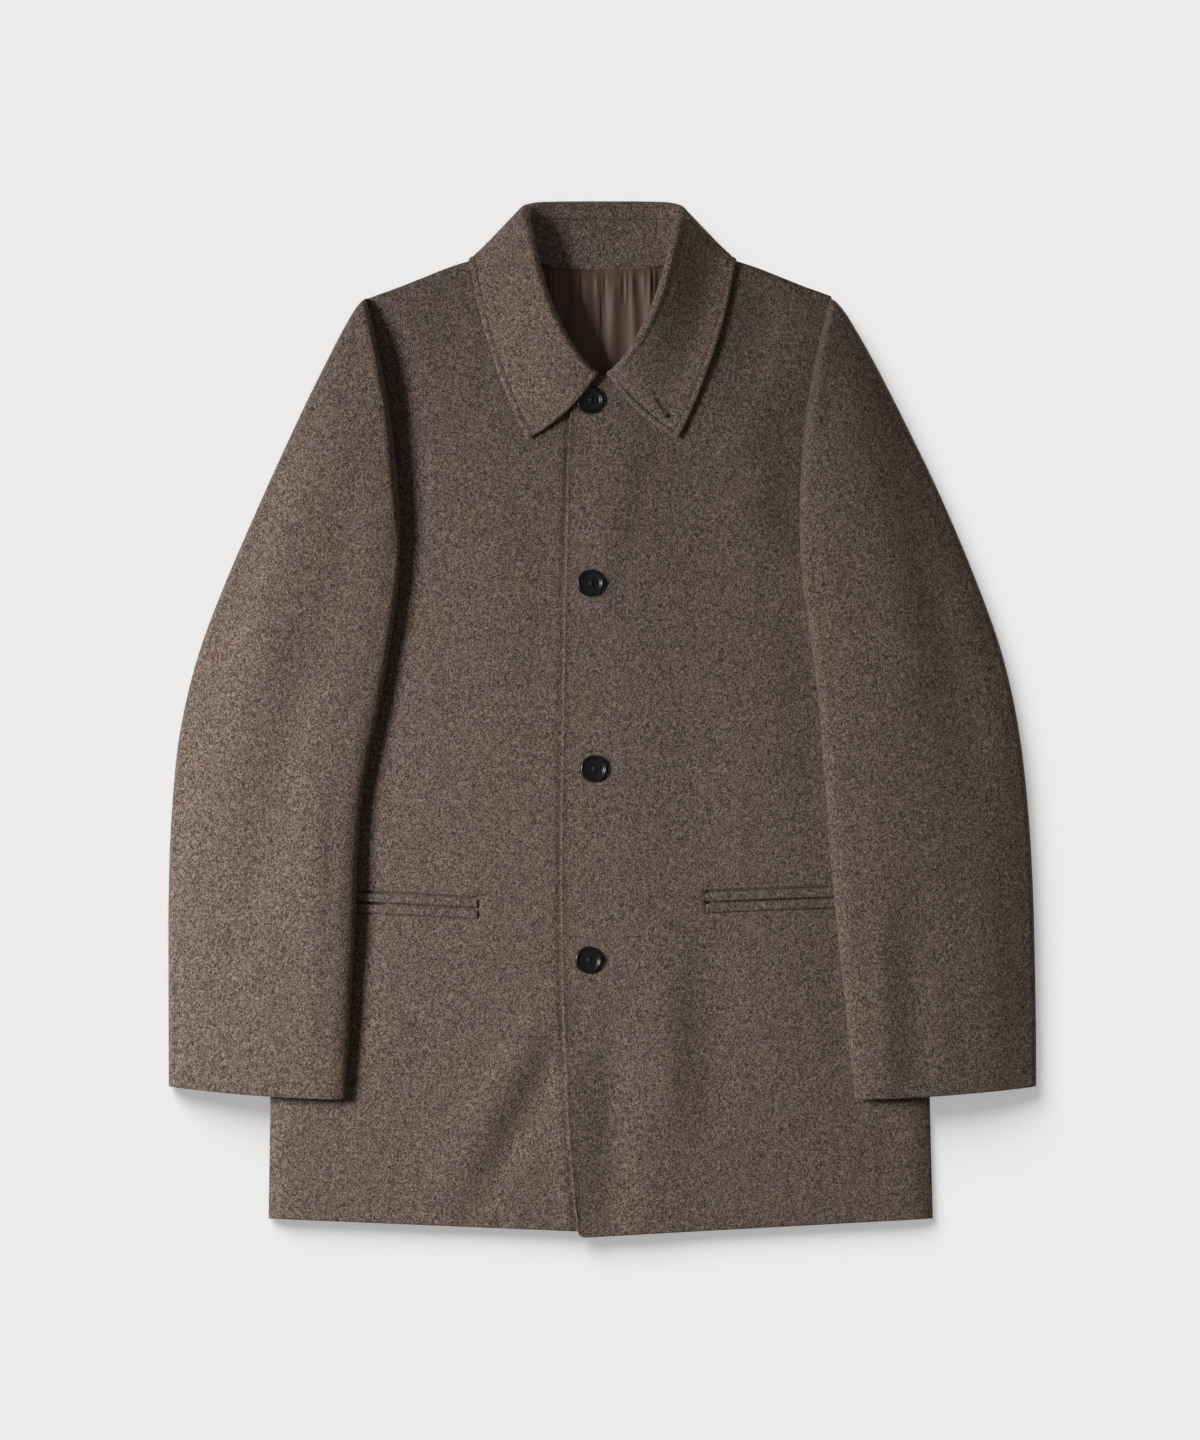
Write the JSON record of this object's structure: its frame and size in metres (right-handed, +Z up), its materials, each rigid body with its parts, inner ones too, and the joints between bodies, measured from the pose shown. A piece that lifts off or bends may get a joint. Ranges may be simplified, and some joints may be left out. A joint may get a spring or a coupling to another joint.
{
  "type": "short coat",
  "caption": "Short single-breasted wool coat with a turn-down collar and welt pockets, buttoned and laid flat on its back.",
  "frame": {"origin": "centre of the coat's outline, on the surface it lies on", "axes": "+X to the wearer's left, +Y from the hem to the collar, +Z up from the surface through the back to the fronts"},
  "size_m": [0.7226, 0.8628, 0.0389],
  "materials": {
    "wool": "brushed heather wool",
    "lining": "satin",
    "button": "polished"
  },
  "bodies": {
    "root": {"back": "wool", "lining_back": "lining", "front_right": "wool", "front_left": "wool", "sleeve_right": "wool", "sleeve_left": "wool", "collar_stand": "wool", "collar_fall": "wool", "pocket_right_upper_welt": "wool", "pocket_right_lower_welt": "wool", "pocket_left_upper_welt": "wool", "pocket_left_lower_welt": "wool", "button_1": "button", "button_2": "button", "button_3": "button", "button_4": "button"}
  },
  "joints": []
}
